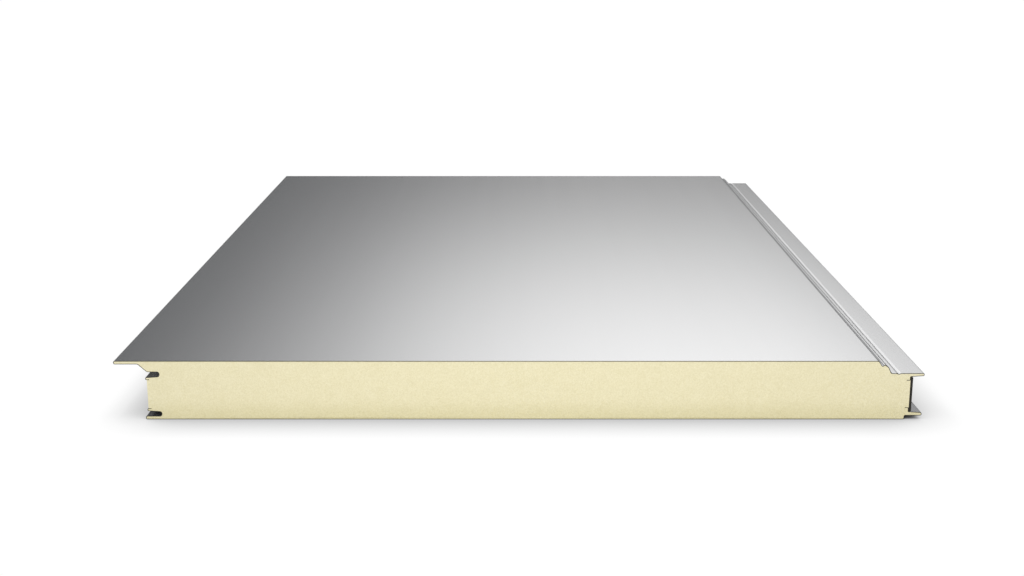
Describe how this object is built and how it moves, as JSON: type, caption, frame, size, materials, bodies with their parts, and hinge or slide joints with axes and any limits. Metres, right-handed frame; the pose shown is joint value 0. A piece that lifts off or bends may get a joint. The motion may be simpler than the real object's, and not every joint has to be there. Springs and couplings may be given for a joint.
{
  "type": "insulated sandwich panel",
  "caption": "Flat insulated wall panel: two coated steel sheets on a rigid foam core, with hidden-fix tongue and groove edges and a seal strip.",
  "frame": {"origin": "middle of the underside: the centre of the panel's width and length, on the inner face", "axes": "+X across the width towards the male edge, +Y along the length, +Z out of the outer face"},
  "size_m": [1.0578, 1.46, 0.08],
  "materials": {
    "outer_coating": "silver metallic coating, smooth and satin",
    "inner_coating": "grey backing coat, satin",
    "foam": "cream rigid foam, fine cells, matt",
    "seal": "black soft sealing strip, matt"
  },
  "bodies": {
    "root": {"outer_sheet": "outer_coating", "inner_sheet": "inner_coating", "foam_core": "foam", "joint_seal": "seal"}
  },
  "joints": []
}
